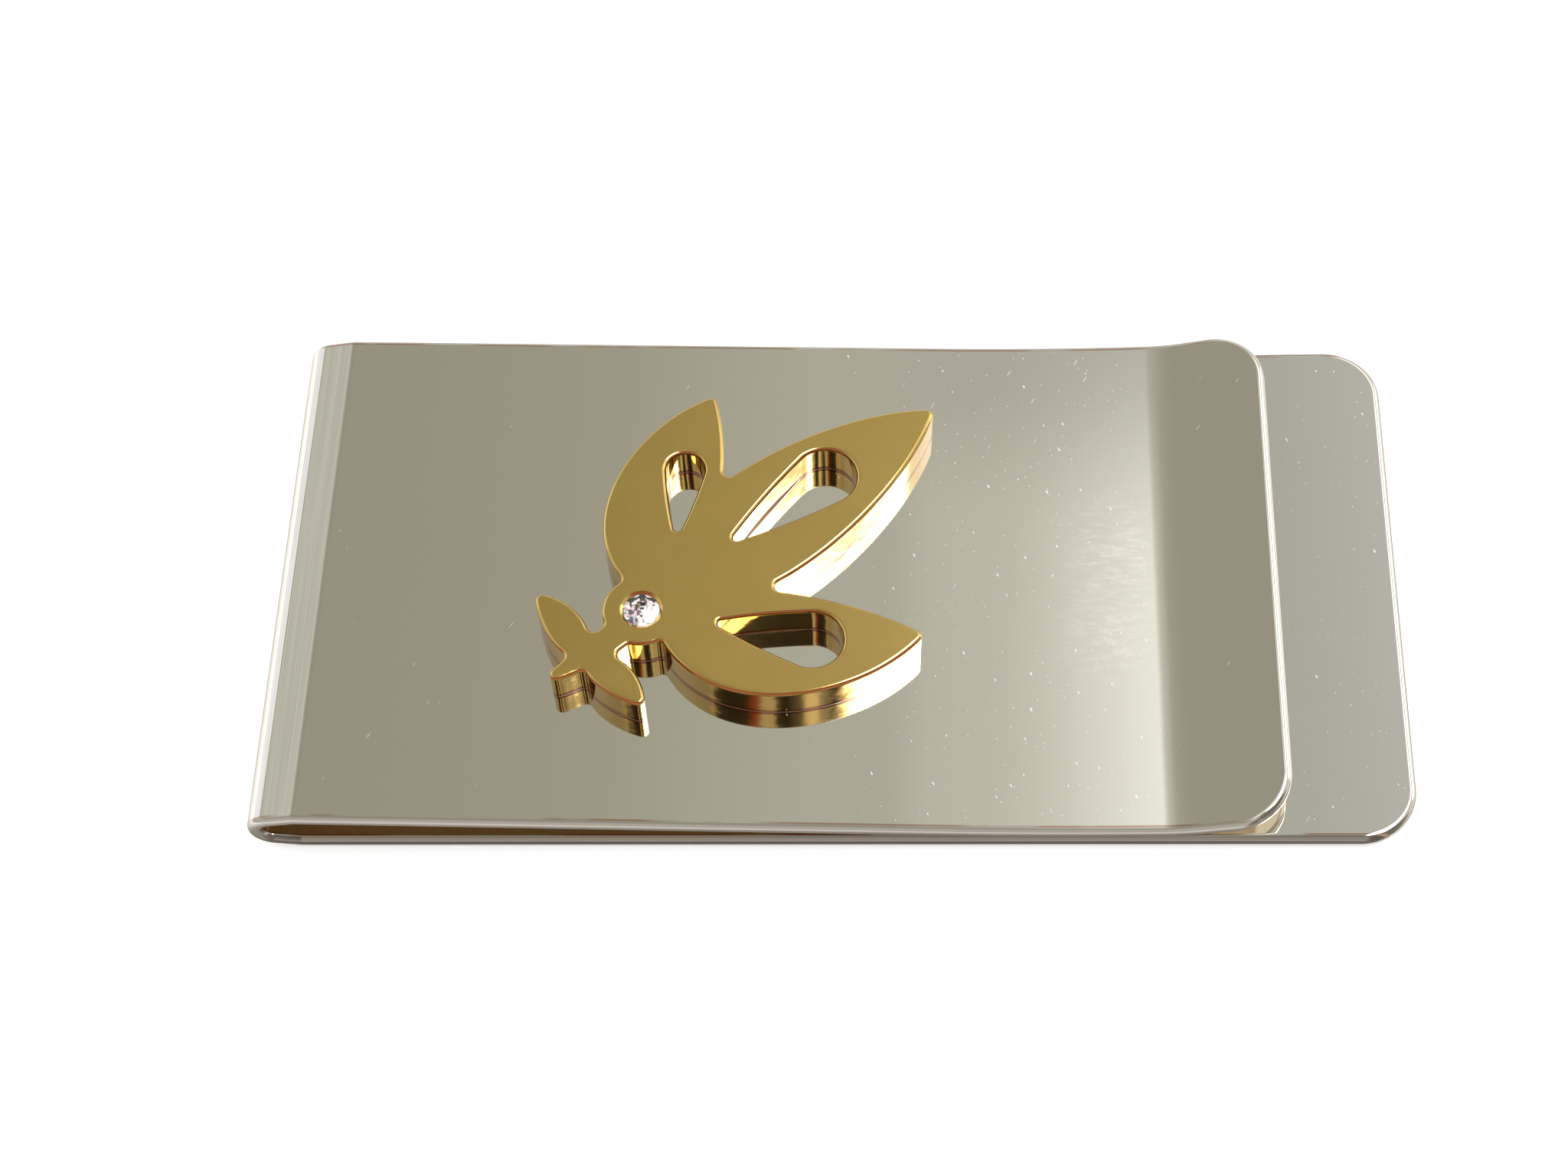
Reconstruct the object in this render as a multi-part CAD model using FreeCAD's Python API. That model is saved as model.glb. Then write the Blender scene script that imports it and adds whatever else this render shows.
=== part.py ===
import FreeCAD, Part
import math
import os

# Spring money clip, in millimetres.
#
# One strip of plated spring sheet is folded back on itself.  The long back leaf lies flat, the
# bend joining the leaves is the spring, and the shorter front leaf slopes down until it almost
# touches the back leaf, then sweeps up into a lip that notes slide under.  A pierced leaf-sprig
# emblem is bonded to the front leaf.  A foil-backed stone is cemented into a seat where the leaves
# of the sprig meet.
#
# Row frame: +X from the bend to the open mouth, +Y across the strip, +Z up.  The origin is at the
# middle of the back leaf's underside.

Vector = FreeCAD.Vector

# Strip
strip_width = 25.4
back_length = 50.8
front_length = 45.4
sheet = 0.7
bend_height = 2.8
bend_depth = 2.3
crease_angle = 10.0
crease_radius = 0.9
leaf_slope = 2.5
leaf_straight_end = 29.8
contact_radius = 144.0
contact_exit_slope = 1.5
lip_bend_radius = 9.0
lip_slope = 13.0
tip_corner_radius = 2.5
edge_round = 0.3

# Emblem
emblem_x = -4.0
emblem_y = 0.5
emblem_thickness = 1.6
emblem_face_round = 0.18
corner_round = 0.3
bond_thickness = 0.06

# Stone and its seat.  A ring of facets is given by its angle from the girdle plane, and by how many
# stone radii out it would meet that plane.
stone_place = (-4.4, -3.4)
stone_radius = 0.80
boss_radius = 1.75
girdle_depth = 0.10
girdle_band = 0.05
crown_height = 0.27
pavilion_room = 1.2
facet_count = 8
crown_rings = ((24.0, 1.10), (38.0, 1.005))
pavilion_rings = ((41.0, 1.03), (44.0, 1.0))
seat_clearance = 0.05
seat_straight_depth = 0.40
seat_cone_angle = 45.0
seat_mouth_radius = 0.95
seat_mouth_depth = 0.08
foil_thickness = 0.03

# Worked out from the sizes above
half_width = strip_width / 2
outer_bend_x = -back_length / 2
crease_sine = math.sin(math.radians(crease_angle))
crease_cosine = math.cos(math.radians(crease_angle))
flank_depth = bend_depth - sheet / 2 - crease_radius * crease_sine
flank_rise = (bend_height - sheet) / 2 - crease_radius * (1 - crease_cosine)
nose_radius = (flank_rise * crease_cosine - flank_depth * crease_sine) / (1 - crease_sine)
flank_length = (flank_depth - nose_radius * (1 - crease_sine)) / crease_cosine
seat_radius = stone_radius + seat_clearance
face_height = bond_thickness + emblem_thickness
girdle_height = face_height - girdle_depth
up = Vector(0, 0, 1)
fine = 1e-6


# ---- the strip: a path of tangent lines and arcs in the XZ plane, then given its thickness ----


def beside(place, heading, side):
    """The point `side` to the left of a place on the path."""
    angle = math.radians(heading + 90)
    return place + Vector(math.cos(angle), 0, math.sin(angle)) * side


class Path:
    """A chain of tangent lines and arcs.  Headings are degrees up from +X."""

    def __init__(self, place, heading):
        self.place = place
        self.heading = heading
        self.spans = []

    def line(self, length):
        end = beside(self.place, self.heading - 90, length)
        self.spans.append([(self.place, self.heading), (end, self.heading)])
        self.place = end

    def arc(self, radius, turn):
        """A positive turn is to the left."""
        to_centre = math.copysign(radius, turn)
        centre = beside(self.place, self.heading, to_centre)
        stops = [(self.place, self.heading)]
        for share in (0.5, 1.0):
            heading = self.heading + turn * share
            stops.append((beside(centre, heading, -to_centre), heading))
        self.spans.append(stops)
        self.place, self.heading = stops[-1]

    def skin(self, side):
        """The edges of the sheet's face that lies `side` to the left of the path."""
        edges = []
        for stops in self.spans:
            points = [beside(place, heading, side) for place, heading in stops]
            curve = Part.Arc(*points) if len(points) == 3 else Part.LineSegment(*points)
            edges.append(curve.toShape())
        return edges

    def sheet_solid(self):
        left = self.skin(sheet / 2)
        right = self.skin(-sheet / 2)
        ends = []
        for place, heading in (self.spans[0][0], self.spans[-1][-1]):
            ends.append(Part.makeLine(*[beside(place, heading, s * sheet / 2) for s in (1, -1)]))
        section = Part.Face(Part.Wire(Part.__sortEdges__(left + right + ends)))
        section.translate(Vector(0, -half_width, 0))
        return section.extrude(Vector(0, strip_width, 0))


def back_path():
    path = Path(Vector(back_length / 2, 0, sheet / 2), 180.0)
    path.line(back_length - bend_depth)
    return path


def bend_path():
    """A crease, a flat flank and the round nose, then the same flank and crease on the way back.

    The last crease turns a little past flat, so that the front leaf starts downhill."""
    path = Path(back_path().place, 180.0)
    path.arc(crease_radius, -crease_angle)
    path.line(flank_length)
    path.arc(nose_radius, -(180 - 2 * crease_angle))
    path.line(flank_length)
    path.arc(crease_radius, -(crease_angle + leaf_slope))
    return path


def front_path():
    path = Path(bend_path().place, -leaf_slope)
    straight = outer_bend_x + leaf_straight_end - path.place.x
    path.line(straight / math.cos(math.radians(leaf_slope)))
    path.arc(contact_radius, leaf_slope + contact_exit_slope)
    path.arc(lip_bend_radius, lip_slope - contact_exit_slope)
    slope = math.radians(lip_slope)
    lip_end = outer_bend_x + front_length - sheet / 2 * math.sin(slope)
    path.line((lip_end - path.place.x) / math.cos(slope))
    return path


def through_sheet_edges(solid, tip_x):
    """The two short edges that run through the sheet at a free tip."""
    found = []
    for edge in solid.Edges:
        middle = edge.CenterOfMass
        on_long_side = abs(abs(middle.y) - half_width) < fine
        if on_long_side and abs(middle.x - tip_x) < sheet and edge.Length < 2 * sheet:
            found.append(edge)
    return found


def is_skin(face):
    """True for a face of the sheet itself, False for one cut through its thickness."""
    u_low, u_high, v_low, v_high = face.ParameterRange
    normal = face.normalAt((u_low + u_high) / 2, (v_low + v_high) / 2)
    cross_section = strip_width * sheet
    return abs(normal.y) < fine and face.Area > cross_section + fine


def near_tip(edge):
    tips = (back_length / 2, outer_bend_x + front_length)
    return min(abs(edge.CenterOfMass.x - tip) for tip in tips) < sheet


def deburr(solid):
    """Rounds the edges where a skin meets the long sides or a free tip."""
    chosen = []
    for edge in solid.Edges:
        skins = [face for face in solid.ancestorsOfType(edge, Part.Face) if is_skin(face)]
        split_line = edge.Length > strip_width - fine and not near_tip(edge)
        if len(skins) == 1 and not split_line:
            chosen.append(edge)
    return solid.makeFillet(edge_round, chosen).Solids[0]


def back_leaf():
    solid = back_path().sheet_solid()
    solid = solid.makeFillet(tip_corner_radius, through_sheet_edges(solid, back_length / 2))
    return deburr(solid)


def spring_bend():
    return deburr(bend_path().sheet_solid())


def front_leaf():
    solid = front_path().sheet_solid()
    tip_x = outer_bend_x + front_length
    solid = solid.makeFillet(tip_corner_radius, through_sheet_edges(solid, tip_x))
    return deburr(solid)


# ---- the emblem, drawn flat around its own centre and later set on the sloping leaf ----


def blade(base, tip, half_breadth, bow=0.0, base_pull=0.17, tip_pull=0.78, pinch=0.62):
    """A leaf outline: one cubic curve up each side of the line from base to tip.

    The pulls place the two control points along that line.  A bow swings both sides to the left of
    it, and a small pinch draws the tip out to a point."""
    base = Vector(*base)
    along = Vector(*tip) - base
    across = Vector(-along.y, along.x, 0).normalize()
    reach = half_breadth / 0.75 * 2 / (1 + pinch)
    sides = []
    for side in (1, -1):
        poles = [
            base,
            base + along * base_pull + across * (side * reach + bow),
            base + along * tip_pull + across * (side * reach * pinch + bow),
            base + along,
        ]
        curve = Part.BezierCurve()
        curve.setPoles(poles)
        sides.append(curve.toShape())
    return Part.Face(Part.Wire(Part.__sortEdges__(sides)))


def teardrop(point, round_centre, round_radius, point_radius=0.18):
    """A hole outline: a large circle and a small one, joined by their two outer tangents."""
    large = Vector(*round_centre)
    small = Vector(*point)
    axis = small - large
    heading = math.atan2(axis.y, axis.x)
    swing = math.acos((round_radius - point_radius) / axis.Length)

    def on_circle(centre, radius, angle):
        return centre + Vector(math.cos(angle), math.sin(angle), 0) * radius

    left, right = heading + swing, heading - swing
    large_ends = [on_circle(large, round_radius, angle) for angle in (left, right)]
    small_ends = [on_circle(small, point_radius, angle) for angle in (left, right)]
    large_back = on_circle(large, round_radius, heading + math.pi)
    small_front = on_circle(small, point_radius, heading)
    edges = [
        Part.Arc(large_ends[0], large_back, large_ends[1]).toShape(),
        Part.makeLine(large_ends[1], small_ends[1]),
        Part.Arc(small_ends[1], small_front, small_ends[0]).toShape(),
        Part.makeLine(small_ends[0], large_ends[0]),
    ]
    return Part.Face(Part.Wire(edges))


def sprig_outlines():
    """Three leaves fan out from the stone's round boss, and the stalk below it has two leaflets."""
    boss_edge = Part.makeCircle(boss_radius, Vector(*stone_place, 0))
    return [
        blade((-4.1, -2.9), (-1.6, 8.1), 2.5, bow=1.0),
        blade((-3.8, -3.0), (8.6, 7.5), 2.85, bow=0.25),
        blade((-3.9, -3.8), (8.2, -4.4), 2.6, bow=-1.2),
        blade((-4.0, -3.0), (-9.0, -7.4), 0.7, bow=0.4, tip_pull=0.6, pinch=0.6),
        blade((-6.9, -5.9), (-9.2, -2.6), 0.85, bow=-0.3),
        blade((-6.8, -5.9), (-4.0, -8.2), 0.8, bow=0.3),
        Part.Face(Part.Wire(boss_edge)),
    ]


def piercing_outlines():
    """One teardrop in each leaf, pointing at the stone."""
    return [
        teardrop((-3.0, 0.9), (-2.8, 4.0), 0.9),
        teardrop((-0.3, 0.45), (3.6, 3.75), 1.45),
        teardrop((-0.8, -4.0), (3.2, -4.75), 1.4),
    ]


def prism(face, bottom, top):
    solid = face.extrude(Vector(0, 0, top - bottom))
    solid.translate(Vector(0, 0, bottom))
    return solid


def sprig_plate(bottom, top):
    """The leaves joined into one plate with rounded corners, then pierced."""
    first, *others = [prism(face, bottom, top) for face in sprig_outlines()]
    plate = first.multiFuse(others).removeSplitter().Solids[0]
    upright = []
    for edge in plate.Edges:
        span = edge.lastVertex().Point - edge.firstVertex().Point
        if math.hypot(span.x, span.y) < fine:
            upright.append(edge)
    plate = plate.makeFillet(corner_round, upright)
    holes = [prism(face, bottom - sheet, top + sheet) for face in piercing_outlines()]
    return plate.cut(holes).Solids[0]


def edges_at_height(solid, height):
    """Every edge that lies in the plane at one height."""
    found = []
    for edge in solid.Edges:
        places = [edge.CenterOfMass] + [vertex.Point for vertex in edge.Vertexes]
        if all(abs(place.z - height) < fine for place in places):
            found.append(edge)
    return found


def seat_cavity():
    """A straight hole with a cone at its foot and a flared bright-cut mouth."""
    cone_depth = seat_radius * math.tan(math.radians(seat_cone_angle))
    shoulder = face_height - seat_straight_depth
    profile = [
        (0, shoulder - cone_depth),
        (seat_radius, shoulder),
        (seat_radius, face_height - seat_mouth_depth),
        (seat_mouth_radius, face_height),
        (0, face_height),
    ]
    wire = Part.makePolygon([Vector(r, 0, z) for r, z in profile + profile[:1]])
    return Part.Face(wire).revolve(Vector(), up, 360)


def beyond_facet(angle, distance, turn):
    """A block whose near face is one facet plane, `distance` from the girdle's centre."""
    size = 6 * stone_radius
    block = Part.makeBox(size, size, size, Vector(-size / 2, -size / 2, distance))
    block.rotate(Vector(), Vector(0, 1, 0), angle)
    block.rotate(Vector(), up, turn)
    return block


def facet_cutters(rings, radius, plane_height, below):
    """The blocks beyond every facet of the rings.  Each ring is turned half a facet from the last."""
    cutters = []
    step = 360 / facet_count
    for ring, (angle, reach) in enumerate(rings):
        distance = radius * reach * math.sin(math.radians(angle))
        tilt = 180 - angle if below else angle
        for facet in range(facet_count):
            cutter = beyond_facet(tilt, distance, step * (facet + ring / 2))
            cutter.translate(up * plane_height)
            cutters.append(cutter)
    return cutters


def cut_gem(radius):
    """A chaton cut from a round rod, around the girdle's centre: crown, table and pavilion."""
    depth = radius * pavilion_room
    gem = Part.makeCylinder(radius, depth + crown_height, Vector(0, 0, -depth))
    crown = facet_cutters(crown_rings, radius, 0, below=False)
    pavilion = facet_cutters(pavilion_rings, radius, -girdle_band, below=True)
    for cutter in crown + pavilion:
        gem = gem.cut(cutter)
    gem = gem.Solids[0]
    gem.translate(up * girdle_height)
    return gem


def above_girdle():
    """A block over everything above the bottom of the girdle."""
    size = 4 * stone_radius
    return Part.makeBox(size, size, size, Vector(-size / 2, -size / 2, girdle_height - girdle_band))


def stone():
    return cut_gem(stone_radius)


def stone_foil():
    """The reflecting backing: a thin faceted cup around the pavilion."""
    cup = cut_gem(stone_radius + foil_thickness)
    return cup.cut([above_girdle(), stone()]).Solids[0]


def stone_cement():
    """What fills the seat under the stone, up to the girdle."""
    return seat_cavity().cut([above_girdle(), stone_foil(), stone()]).Solids[0]


def emblem():
    plate = sprig_plate(bond_thickness, face_height)
    plate = plate.makeFillet(emblem_face_round, edges_at_height(plate, face_height))
    seat = seat_cavity()
    seat.translate(Vector(*stone_place, 0))
    return plate.cut(seat).Solids[0]


def emblem_bond():
    """The film of adhesive under the emblem."""
    return sprig_plate(0, bond_thickness)


def on_front_leaf(shape):
    """Moves a shape from the emblem's own frame onto the front leaf's sloping upper face."""
    start = front_path().spans[0][0][0]
    skin_start = beside(start, -leaf_slope, sheet / 2)
    along = (emblem_x - skin_start.x) / math.cos(math.radians(leaf_slope))
    seat = beside(skin_start, -leaf_slope - 90, along) + Vector(0, emblem_y, 0)
    shape.rotate(Vector(), Vector(0, 1, 0), leaf_slope)
    shape.translate(seat)
    return shape


def in_boss(shape):
    shape.translate(Vector(*stone_place, 0))
    return on_front_leaf(shape)


if __name__ == "__main__":
    os.makedirs("parts", exist_ok=True)
    back_leaf().exportStep("parts/back_leaf.step")
    spring_bend().exportStep("parts/spring_bend.step")
    front_leaf().exportStep("parts/front_leaf.step")
    on_front_leaf(emblem()).exportStep("parts/emblem.step")
    on_front_leaf(emblem_bond()).exportStep("parts/emblem_bond.step")
    in_boss(stone()).exportStep("parts/stone.step")
    in_boss(stone_foil()).exportStep("parts/stone_foil.step")
    in_boss(stone_cement()).exportStep("parts/stone_cement.step")
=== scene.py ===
import math

import bmesh
import bpy
from mathutils import Matrix, Vector
from mathutils.geometry import tessellate_polygon

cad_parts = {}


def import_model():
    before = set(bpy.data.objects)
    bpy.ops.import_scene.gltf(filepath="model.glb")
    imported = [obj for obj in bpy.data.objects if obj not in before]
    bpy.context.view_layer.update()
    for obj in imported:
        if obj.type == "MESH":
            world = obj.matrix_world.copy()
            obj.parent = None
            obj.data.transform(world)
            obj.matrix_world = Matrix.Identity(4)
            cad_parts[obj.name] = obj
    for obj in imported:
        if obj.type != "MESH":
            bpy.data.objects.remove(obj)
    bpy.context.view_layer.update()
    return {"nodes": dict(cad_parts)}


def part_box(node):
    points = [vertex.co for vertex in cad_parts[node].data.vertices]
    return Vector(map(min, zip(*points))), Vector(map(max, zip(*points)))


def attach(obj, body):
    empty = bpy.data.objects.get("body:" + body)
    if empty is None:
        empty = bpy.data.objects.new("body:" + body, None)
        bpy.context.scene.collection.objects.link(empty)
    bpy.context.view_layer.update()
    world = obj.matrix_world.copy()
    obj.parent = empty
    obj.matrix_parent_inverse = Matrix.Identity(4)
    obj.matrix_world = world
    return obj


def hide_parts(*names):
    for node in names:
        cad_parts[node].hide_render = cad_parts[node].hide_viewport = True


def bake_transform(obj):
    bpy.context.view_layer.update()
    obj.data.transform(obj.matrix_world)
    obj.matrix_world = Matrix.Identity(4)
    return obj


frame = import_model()

# Looks of a folded spring money clip, in metres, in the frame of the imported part:
# +X from the bend to the open mouth, +Y across the strip, +Z up, underside of the back leaf on z = 0.
#
# The strip is rebuilt as three plates with rounded edges and exact normals, because its polish is a
# near mirror.  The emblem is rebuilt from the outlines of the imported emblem, and the stone from the
# packed stone.  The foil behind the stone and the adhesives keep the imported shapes.

MM = 0.001
ACROSS = Vector((0, 1, 0))

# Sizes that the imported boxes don't give
CREASE_ANGLE = math.radians(10)
CREASE_RADIUS = 0.9 * MM
LEAF_SLOPE = math.radians(2.5)
LEAF_STRAIGHT_END = 29.8 * MM
CONTACT_RADIUS = 144 * MM
CONTACT_EXIT_SLOPE = math.radians(1.5)
LIP_BEND_RADIUS = 9 * MM
LIP_SLOPE = math.radians(13)
TIP_CORNER_RADIUS = 2.5 * MM
EDGE_ROUND = 0.3 * MM
EMBLEM_EDGE_ROUND = 0.18 * MM
SEAT_RADIUS = 0.85 * MM
SEAT_LIP_RADIUS = 0.81 * MM
SEAT_LIP_TOP = 0.10 * MM
SEAT_LIP_UNDERSIDE = 0.14 * MM
SEAT_WALL_DEPTH = 0.40 * MM
SEAT_TIP_RADIUS = 0.17 * MM

# Directions on the front leaf
LEAF_ALONG = Vector((math.cos(LEAF_SLOPE), 0, -math.sin(LEAF_SLOPE)))
LEAF_UP = Vector((math.sin(LEAF_SLOPE), 0, math.cos(LEAF_SLOPE)))

# How finely curves are cut
ROUND_STEPS = 6
PLATE_COLUMNS = 14
TURN_PER_STEP = math.radians(1.5)
LONGEST_STEP = 1.5 * MM
SHORTEST_STEP = MM / 1e6
CORNER_STEPS = 24
OUTLINE_STEP = 0.12 * MM
SEAT_STEPS = 96

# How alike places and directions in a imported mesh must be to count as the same
SAME_PLACE = MM / 1000
SAME_FACING = 0.9999
SAME_FACET = math.radians(0.4)

# Facets below the stone's girdle have normals that point up from the leaf by less than this
BELOW_GIRDLE = -0.2


# ---------------------------------------------------------------- meshes with exact normals


class Skin:
    """Collects vertices, faces and the normal at each face corner, then makes a piece of them."""

    def __init__(self):
        self.points = []
        self.faces = []
        self.normals = []
        self.slots = []

    def point(self, place):
        self.points.append(place)
        return len(self.points) - 1

    def face(self, corners, normals, slot=0):
        self.faces.append(corners)
        self.normals.extend(normals)
        self.slots.append(slot)

    def piece(self, name, *materials):
        mesh = bpy.data.meshes.new(name)
        mesh.from_pydata(self.points, [], self.faces)
        for material in materials:
            mesh.materials.append(material)
        for polygon, slot in zip(mesh.polygons, self.slots):
            polygon.material_index = slot
            polygon.use_smooth = True
        mesh.normals_split_custom_set(self.normals)
        obj = bpy.data.objects.new(name, mesh)
        bpy.context.scene.collection.objects.link(obj)
        return obj


def round_profile(radius):
    """A quarter round from facing up to facing out: (inset, drop, outward share, upward share)."""
    profile = []
    for i in range(ROUND_STEPS + 1):
        angle = math.pi / 2 * (1 - i / ROUND_STEPS)
        out, up = math.cos(angle), math.sin(angle)
        profile.append((radius * (1 - out), radius * (1 - up), out, up))
    return profile


# ---------------------------------------------------------------- the strip


class Track:
    """The sheet's mid-line in the XZ plane, walked by distance.  Headings are radians up from +X."""

    def __init__(self, x, z, heading):
        self.knots = [(0.0, x, z, heading)]
        self.bends = []

    def go(self, length, turn=0.0):
        start = self.knots[-1]
        self.bends.append(turn / length)
        self.knots.append((start[0] + length, *self.step(start, length, turn / length)))

    @staticmethod
    def step(knot, length, bend):
        _, x, z, heading = knot
        if bend == 0:
            return x + math.cos(heading) * length, z + math.sin(heading) * length, heading
        new = heading + bend * length
        across = (math.sin(new) - math.sin(heading)) / bend
        rise = (math.cos(heading) - math.cos(new)) / bend
        return x + across, z + rise, new

    def at(self, distance):
        """(place, direction of travel, the sheet's upper normal) at a distance from the start."""
        part = 0
        while part < len(self.bends) - 1 and distance > self.knots[part + 1][0]:
            part += 1
        knot = self.knots[part]
        x, z, heading = self.step(knot, distance - knot[0], self.bends[part])
        travel = Vector((math.cos(heading), 0, math.sin(heading)))
        return Vector((x, 0, z)), travel, travel.cross(ACROSS)

    def stations(self, limit):
        """Distances that cut every straight and bend finely enough, up to a limit."""
        found = [0.0]
        for part, bend in enumerate(self.bends):
            start, end = self.knots[part][0], min(self.knots[part + 1][0], limit)
            if end - start < SHORTEST_STEP:
                continue
            pieces = max((end - start) / LONGEST_STEP, abs(bend) * (end - start) / TURN_PER_STEP)
            count = max(1, math.ceil(pieces))
            found += [start + (end - start) * (i + 1) / count for i in range(count)]
        return found

    @property
    def length(self):
        return self.knots[-1][0]


def plate(name, track, half_width, sheet, material, free_tip):
    """A sheet swept along a track, with rounded long edges.  A free tip has rounded corners."""
    skin = Skin()
    normals = []
    upper = [(inset, sheet / 2 - drop, out, up) for inset, drop, out, up in round_profile(EDGE_ROUND)]
    lower = [(inset, -height, out, -up) for inset, height, out, up in reversed(upper)]
    edge = upper + lower
    middle = edge[1:-1]
    corner = TIP_CORNER_RADIUS if free_tip else 0.0
    straight = track.length - corner
    corner_y = half_width - corner
    fractions = [2 * i / PLATE_COLUMNS - 1 for i in range(PLATE_COLUMNS + 1)]
    columns = len(fractions)

    def put(along, y, height, out_travel, out_y, out_up):
        """Adds a point with its normal, and returns its index."""
        place, travel, normal = track.at(along)
        normals.append(travel * out_travel + ACROSS * out_y + normal * out_up)
        return skin.point(place + ACROSS * y + normal * height)

    def boundary(distance, angle, inset):
        """(distance along, y, outward travel share, outward y share) on one inset line."""
        reach = corner - inset
        sine, cosine = math.sin(angle), math.cos(angle)
        return distance + reach * sine, corner_y + reach * cosine, sine, cosine

    def put_edge(row, side, levels):
        for inset, height, out, up in levels:
            along, y, out_travel, out_y = boundary(*row, inset)
            put(along, side * y, height, out * out_travel, side * out * out_y, up)

    def add_face(corners):
        skin.face(corners, [normals[i] for i in corners])

    # Each row is one ring round the sheet: its top, one long edge, its underside, the other long edge.
    rows = [(distance, 0.0) for distance in track.stations(straight)]
    if free_tip:
        rows += [(straight, math.pi / 2 * (i + 1) / CORNER_STEPS) for i in range(CORNER_STEPS)]
    for row in rows:
        along, y, _, _ = boundary(*row, edge[0][0])
        for fraction in fractions:
            put(along, y * fraction, edge[0][1], 0, 0, 1)
        put_edge(row, 1, middle)
        for fraction in reversed(fractions):
            put(along, y * fraction, edge[-1][1], 0, 0, -1)
        put_edge(row, -1, reversed(middle))
    ring = len(normals) // len(rows)
    last = (len(rows) - 1) * ring
    for low in range(0, last, ring):
        high = low + ring
        for j in range(ring):
            k = (j + 1) % ring
            add_face([low + j, high + j, high + k, low + k])

    _, travel, _ = track.at(0)
    skin.face(list(range(ring)), [-travel] * ring)
    if not free_tip:
        _, travel, _ = track.at(track.length)
        skin.face([last + j for j in reversed(range(ring))], [travel] * ring)
        return skin.piece(name, material)

    # The tip's own edge: a grid between the last ring's upper and lower rows.
    grid = []
    for column, fraction in enumerate(fractions):
        line = [last + column]
        for level, (inset, height, out, up) in enumerate(middle):
            if column == columns - 1:
                line.append(last + columns + level)
            elif column == 0:
                line.append(last + ring - 1 - level)
            else:
                line.append(put(track.length - inset, corner_y * fraction, height, out, 0, up))
        line.append(last + 2 * columns + len(middle) - 1 - column)
        grid.append(line)
    for left, right in zip(grid, grid[1:]):
        for level in range(len(edge) - 1):
            add_face([left[level], left[level + 1], right[level + 1], right[level]])
    return skin.piece(name, material)


def strip_tracks():
    """The mid-lines of the back leaf, the bend and the front leaf."""
    back_low, back_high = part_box("back_leaf")
    bend_low, bend_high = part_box("spring_bend")
    front_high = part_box("front_leaf")[1]
    sheet = back_high.z
    outer_x = bend_low.x
    sine, cosine = math.sin(CREASE_ANGLE), math.cos(CREASE_ANGLE)
    depth = back_low.x - outer_x - sheet / 2 - CREASE_RADIUS * sine
    rise = (bend_high.z - sheet) / 2 - CREASE_RADIUS * (1 - cosine)
    nose_radius = (rise * cosine - depth * sine) / (1 - sine)
    flank = (depth - nose_radius * (1 - sine)) / cosine

    back = Track(back_low.x, sheet / 2, 0.0)
    back.go(back_high.x - back_low.x)

    bend = Track(back_low.x, sheet / 2, math.pi)
    bend.go(CREASE_RADIUS * CREASE_ANGLE, -CREASE_ANGLE)
    bend.go(flank)
    nose_turn = math.pi - 2 * CREASE_ANGLE
    bend.go(nose_radius * nose_turn, -nose_turn)
    bend.go(flank)
    last_turn = CREASE_ANGLE + LEAF_SLOPE
    bend.go(CREASE_RADIUS * last_turn, -last_turn)

    _, x, z, _ = bend.knots[-1]
    front = Track(x, z, -LEAF_SLOPE)
    front.go((outer_x + LEAF_STRAIGHT_END - x) / math.cos(LEAF_SLOPE))
    contact_turn = LEAF_SLOPE + CONTACT_EXIT_SLOPE
    front.go(CONTACT_RADIUS * contact_turn, contact_turn)
    lip_turn = LIP_SLOPE - CONTACT_EXIT_SLOPE
    front.go(LIP_BEND_RADIUS * lip_turn, lip_turn)
    lip_end = front_high.x - EDGE_ROUND * (1 - math.cos(LIP_SLOPE))
    lip_end -= (sheet / 2 - EDGE_ROUND) * math.sin(LIP_SLOPE)
    front.go((lip_end - front.knots[-1][1]) / math.cos(LIP_SLOPE))
    return back, bend, front


def build_strip(nickel):
    back, bend, front = strip_tracks()
    _, half_width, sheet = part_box("back_leaf")[1]
    back_piece = plate("back_leaf_plate", back, half_width, sheet, nickel, free_tip=True)
    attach(back_piece, "back")
    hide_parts("back_leaf")
    front_piece = plate("front_leaf_plate", front, half_width, sheet, nickel, free_tip=True)
    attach(front_piece, "front")
    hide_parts("front_leaf")
    bend_piece = plate("spring_bend_plate", bend, half_width, sheet, nickel, free_tip=False)
    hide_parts("spring_bend")
    # From the back leaf's top to just under the sheet where it meets the front leaf
    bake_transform(bend_piece)


# ---------------------------------------------------------------- the emblem


def on_leaf(u, v, w):
    return LEAF_ALONG * u + ACROSS * v + LEAF_UP * w


def flat_outlines(node, facing):
    """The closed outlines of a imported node's faces that face one way, as (u, v) on the leaf, and
    the height of those faces above the leaf's origin."""
    mesh = frame["nodes"][node].data
    uses = {}
    for polygon in mesh.polygons:
        if polygon.normal.dot(facing) > SAME_FACING:
            for key in polygon.edge_keys:
                uses[key] = uses.get(key, 0) + 1
    places = {}

    def same_place(index):
        co = mesh.vertices[index].co
        key = tuple(round(c / SAME_PLACE) for c in co)
        places.setdefault(key, co)
        return key

    following = {}
    for (a, b), count in uses.items():
        if count == 1:
            a, b = same_place(a), same_place(b)
            following.setdefault(a, []).append(b)
            following.setdefault(b, []).append(a)
    outlines = []
    while following:
        start = next(iter(following))
        loop, here, before = [], start, None
        while True:
            loop.append(places[here])
            onward = [key for key in following.pop(here) if key != before]
            before, here = here, onward[0]
            if here == start:
                break
        outlines.append([Vector((co.dot(LEAF_ALONG), co.y)) for co in loop])
    height = sum(co.dot(LEAF_UP) for co in places.values()) / len(places)
    return outlines, height


def signed_area(loop):
    return sum(a.cross(b) for a, b in zip(loop, loop[1:] + loop[:1])) / 2


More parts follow.
